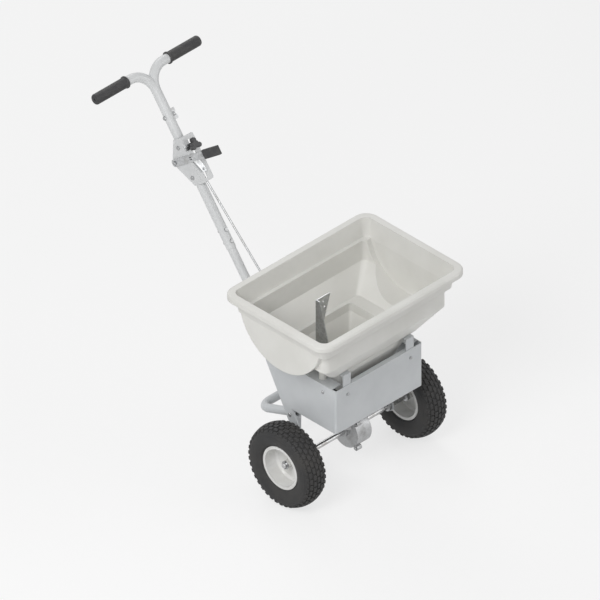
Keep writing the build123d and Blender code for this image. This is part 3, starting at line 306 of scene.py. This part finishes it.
def tyreFinish(name, spec):
    material, wire = newFinish(name)
    place = wire.node("TexCoord", {}, {}, "Object")
    patches = cloud(wire, place, spec["bloomScale"], spec["bloomDetail"], spec["bloomGrain"])
    bloom = band(wire, patches, *spec["bloomBand"])
    colour = blend(wire, bloom, spec["rubber"], spec["bloom"])
    soft = softEdge(wire, spec["edge"])
    specks = cloud(wire, place, spec["wearScale"], spec["wearDetail"])
    scuffed = edgeMask(wire, soft, *spec["wear"]) * band(wire, specks, *spec["wearBreak"])
    colour = blend(wire, scuffed * spec["dustShare"], colour, spec["dust"])
    rough = bloom * spec["bloomRough"] + scuffed * spec["dustRough"] + spec["rough"]
    height = cloud(wire, place, spec["bumpScale"], spec["bumpDetail"]) * spec["bumpDepth"]
    bump = relief(wire, height, soft, spec["bumpStrength"])
    closeFinish(wire, {"Base Color": colour, "Roughness": rough, "Normal": bump})
    return material


finishOf = {slot: coatedFinish(slot, spec) for slot, spec in finishes.items()}
finishOf.update({slot: metalFinish(slot, spec) for slot, spec in metals.items()})
finishOf["tyre_rubber"] = tyreFinish("tyre_rubber", tyreLook)
for part in frame["record"]["subparts"]:
    mesh = nodes[part["node"]].data
    mesh.materials.clear()
    mesh.materials.append(finishOf[part["material_slot"]])
print("finishes made:", len(finishOf))


# How the pieces' meshes are started, joined up and shaded
meshing = {"pointSize": 1 * mm, "mergeGap": 0.02 * mm, "crease": math.radians(32)}


def clearSelection():
    bpy.ops.object.select_all(action="DESELECT")


def pickOnly(piece):
    clearSelection()
    piece.select_set(True)
    bpy.context.view_layer.objects.active = piece


def editAll():
    bpy.ops.object.mode_set(mode="EDIT")
    bpy.ops.mesh.select_all(action="SELECT")


def spunPiece(name, outline, steps):
    # a plane merged to one point, drawn out along the outline (along X, away from X) and spun about X
    clearSelection()
    bpy.ops.mesh.primitive_plane_add(size=meshing["pointSize"], location=(0, 0, 0))
    piece = bpy.context.object
    piece.name = name
    editAll()
    bpy.ops.mesh.merge(type="CENTER")
    last = Vector((0, 0, 0))
    for number, (x, reach) in enumerate(outline):
        spot = Vector((x * mm, 0, reach * mm))
        if number == 0:
            bpy.ops.transform.translate(value=spot - last)
        else:
            bpy.ops.mesh.extrude_region_move(TRANSFORM_OT_translate={"value": spot - last})
        last = spot
    bpy.ops.mesh.select_all(action="SELECT")
    bpy.ops.mesh.spin(steps=steps, angle=2 * math.pi, center=(0, 0, 0), axis=(1, 0, 0))
    bpy.ops.mesh.select_all(action="SELECT")
    bpy.ops.mesh.remove_doubles(threshold=meshing["mergeGap"])
    bpy.ops.mesh.normals_make_consistent(inside=False)
    bpy.ops.object.mode_set(mode="OBJECT")
    return piece


def settle(piece, spot, body, node, slot):
    # the piece goes to its spot and takes the place of its CAD node
    pickOnly(piece)
    piece.location = spot
    bpy.ops.object.transform_apply(location=True, rotation=True, scale=True)
    bpy.ops.object.shade_smooth_by_angle(angle=meshing["crease"])
    piece.data.materials.clear()
    piece.data.materials.append(finishOf[slot])
    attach(piece, body)
    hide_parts(node)


def copyOf(piece, name):
    pickOnly(piece)
    bpy.ops.object.duplicate()
    twin = bpy.context.object
    twin.name = name
    return twin


def middle(node):
    low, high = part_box(node)
    return (Vector(low) + Vector(high)) / 2


# Tyres in millimetres: a smooth carcass with moulded rings, and rows of small blocks round the tread.
# The outline is one half, as (along the axle, from the axle); a row is (across, width, shift in pitches).
tyre = {
    "sideOutline": (
        (25.0, 62.6), (25.2, 67.4), (27.5, 69.6), (30.4, 72.4), (31.6, 72.6), (32.6, 74.0), (33.2, 76.2),
        (36.6, 82.0), (39.0, 89.0), (39.8, 96.0), (39.2, 103.5), (38.8, 105.0), (39.2, 106.2), (38.7, 107.6),
        (37.6, 109.0), (36.6, 112.0), (34.9, 115.4), (31.0, 118.0), (24.0, 121.2), (14.0, 124.0), (5.0, 125.3),
    ),
    "crownRadius": 68.7, "treadRadius": 128.7,
    "pitches": 38, "blockLength": 16.2, "blockDepth": 7.0, "blockBevel": 1.1,
    "rows": ((0.0, 10.6, 0.0), (12.9, 10.4, 0.5), (-12.9, 10.4, 0.5), (25.0, 9.6, 0.0), (-25.0, 9.6, 0.0)),
    "lugReach": 32.7, "lugRadius": 116.8, "lugSize": (6.6, 11.0, 7.0), "lugTurn": 56.0, "lugShift": 0.5,
    "steps": 132,
}


def treadBlock(place, size, bevel):
    clearSelection()
    bpy.ops.mesh.primitive_cube_add(size=1.0)
    block = bpy.context.object
    block.matrix_world = place @ Matrix.Diagonal([length * mm for length in size] + [1.0])
    bpy.ops.object.transform_apply(location=True, rotation=True, scale=True)
    editAll()
    bpy.ops.mesh.bevel(offset=bevel * mm, segments=1, affect="EDGES")
    bpy.ops.object.mode_set(mode="OBJECT")
    return block


def tyrePiece(spec):
    half = spec["sideOutline"]
    outline = half + tuple((-x, reach) for x, reach in reversed(half)) + half[:1]
    carcass = spunPiece("tyreRight", outline, spec["steps"])
    turn = 2 * math.pi / spec["pitches"]
    blocks = []
    for across, width, shift in spec["rows"]:
        lean = math.asin(across / spec["crownRadius"])
        drop = spec["crownRadius"] * (1 - math.cos(lean))
        reach = spec["treadRadius"] - drop - spec["blockDepth"] / 2 * math.cos(lean)
        inward = across - spec["blockDepth"] / 2 * math.sin(lean)
        place = (Matrix.Rotation(turn * shift, 4, "X")
                 @ Matrix.Translation((inward * mm, 0, reach * mm))
                 @ Matrix.Rotation(lean, 4, "Y"))
        size = (width, spec["blockLength"], spec["blockDepth"])
        blocks.append(treadBlock(place, size, spec["blockBevel"]))
    for side in (-1, 1):
        place = (Matrix.Rotation(turn * spec["lugShift"], 4, "X")
                 @ Matrix.Translation((side * spec["lugReach"] * mm, 0, spec["lugRadius"] * mm))
                 @ Matrix.Rotation(side * math.radians(spec["lugTurn"]), 4, "Y"))
        blocks.append(treadBlock(place, spec["lugSize"], spec["blockBevel"]))
    clearSelection()
    for block in blocks:
        block.select_set(True)
    bpy.context.view_layer.objects.active = blocks[0]
    bpy.ops.object.join()
    ring = bpy.context.object
    editAll()
    count = spec["pitches"] - 1
    bpy.ops.mesh.spin(dupli=True, steps=count, angle=turn * count, center=(0, 0, 0), axis=(1, 0, 0))
    bpy.ops.object.mode_set(mode="OBJECT")
    clearSelection()
    ring.select_set(True)
    carcass.select_set(True)
    bpy.context.view_layer.objects.active = carcass
    bpy.ops.object.join()
    return carcass


tyreRight = tyrePiece(tyre)
tyreLeft = copyOf(tyreRight, "tyreLeft")
settle(tyreRight, middle("tyre_right"), "drive_axle", "tyre_right", "tyre_rubber")
settle(tyreLeft, middle("tyre_left"), "free_wheel", "tyre_left", "tyre_rubber")
print("tyres made:", len(tyreRight.data.polygons), "faces each")

# Handle grips in millimetres: a soft sleeve with a stop ring, ribs between grooves and a domed end with a vent.
# The groove is (along the grip from where it starts, share of its depth).
grip = {
    "length": 124.0, "bore": 14.36, "radius": 16.1, "cap": 4.0,
    "ringRadius": 18.7, "ringWidth": 5.0, "ringEdge": 0.9, "ringFoot": 1.2,
    "grooves": 22, "grooveStart": 10.0, "groovePitch": 4.8, "grooveDepth": 0.55,
    "groove": ((0.0, 0), (0.5, 1), (1.3, 1), (1.8, 0)),
    "dome": 3.6, "domeShoulder": 0.35, "domeDrop": 1.1, "endDrop": 3.4,
    "vent": 3.2, "ventDepth": 2.0, "ventTaper": 0.4,
    "steps": 64,
}


def gripPiece(spec):
    start = -spec["length"] / 2
    end = spec["length"] / 2
    radius = spec["radius"]
    ring = spec["ringRadius"]
    edge = spec["ringEdge"]
    ringEnd = start + spec["ringWidth"]
    floor = end - spec["cap"]
    ventFloor = end - spec["ventDepth"]
    outline = [
        (floor, 0.0), (floor, spec["bore"]), (start, spec["bore"]),
        (start, ring - edge), (start + edge, ring), (ringEnd - edge, ring), (ringEnd, ring - edge),
        (ringEnd + spec["ringFoot"], radius),
    ]
    for number in range(spec["grooves"]):
        x = start + spec["grooveStart"] + number * spec["groovePitch"]
        outline += [(x + along, radius - share * spec["grooveDepth"]) for along, share in spec["groove"]]
    outline += [
        (end - spec["dome"], radius), (end - spec["dome"] * spec["domeShoulder"], radius - spec["domeDrop"]),
        (end, radius - spec["endDrop"]), (end, spec["vent"]),
        (ventFloor, spec["vent"] - spec["ventTaper"]), (ventFloor, 0.0),
    ]
    return spunPiece("gripLeft", outline, spec["steps"])


gripLeft = gripPiece(grip)
gripRight = copyOf(gripLeft, "gripRight")
gripRight.rotation_euler = (0, 0, math.pi)
settle(gripLeft, middle("grip_left"), "chassis", "grip_left", "grip_rubber")
settle(gripRight, middle("grip_right"), "chassis", "grip_right", "grip_rubber")
print("grips made")

# Studio: a pale floor that stays near white for the camera, one broad key lamp, a fill and a back lamp.
# A lamp is (name, place, size, power).
studio = {
    "floorSize": 24.0, "floor": paint(0.88, 0.88, 0.88), "glow": 0.7, "sky": 0.34,
    "lamps": (
        ("keyLamp", (-3.0, -1.2, 3.2), 1.8, 92.0),
        ("fillLamp", (2.2, -3.2, 2.0), 2.6, 26.0),
        ("backLamp", (1.6, 3.0, 3.2), 2.0, 40.0),
    ),
}


def backdropRays(wire):
    # 1 for what looks at the backdrop, 0 for the light that it throws on the object
    seen = wire.node("LightPath", {}, {}, "Is Camera Ray")
    for kind in ("Is Glossy Ray", "Is Transmission Ray"):
        seen = seen.math("MAXIMUM", wire.node("LightPath", {}, {}, kind))
    return seen


def floorFinish(spec):
    material, wire = newFinish("studioFloor")
    matte = wire.node("BsdfDiffuse", {}, {"Color": spec["floor"]})
    white = wire.node("Emission", {}, {"Color": paint(1, 1, 1), "Strength": 1.0})
    mixed = wire.node("MixShader", {}, {0: backdropRays(wire) * spec["glow"], 1: matte, 2: white})
    wire.node("OutputMaterial", {}, {"Surface": mixed})
    return material


def studioSky(spec):
    world = bpy.data.worlds.new("studioSky")
    world.use_nodes = True
    world.node_tree.nodes.clear()
    wire = Wire(world.node_tree)
    strength = backdropRays(wire) * (1 - spec["sky"]) + spec["sky"]
    haze = wire.node("Background", {}, {"Color": paint(1, 1, 1), "Strength": strength})
    wire.node("OutputWorld", {}, {"Surface": haze})
    return world


clearSelection()
bpy.ops.mesh.primitive_plane_add(size=studio["floorSize"], location=(0, 0, 0))
floor = bpy.context.object
floor.name = "studioFloor"
floor.data.materials.append(floorFinish(studio))
for lampName, spot, size, power in studio["lamps"]:
    aim = Vector(view["target"]) - Vector(spot)
    bpy.ops.object.light_add(type="AREA", location=spot, rotation=aim.to_track_quat("-Z", "Y").to_euler())
    lamp = bpy.context.object
    lamp.name = lampName
    lamp.data.size = size
    lamp.data.energy = power
bpy.context.scene.world = studioSky(studio)
print("studio lit")

clearSelection()
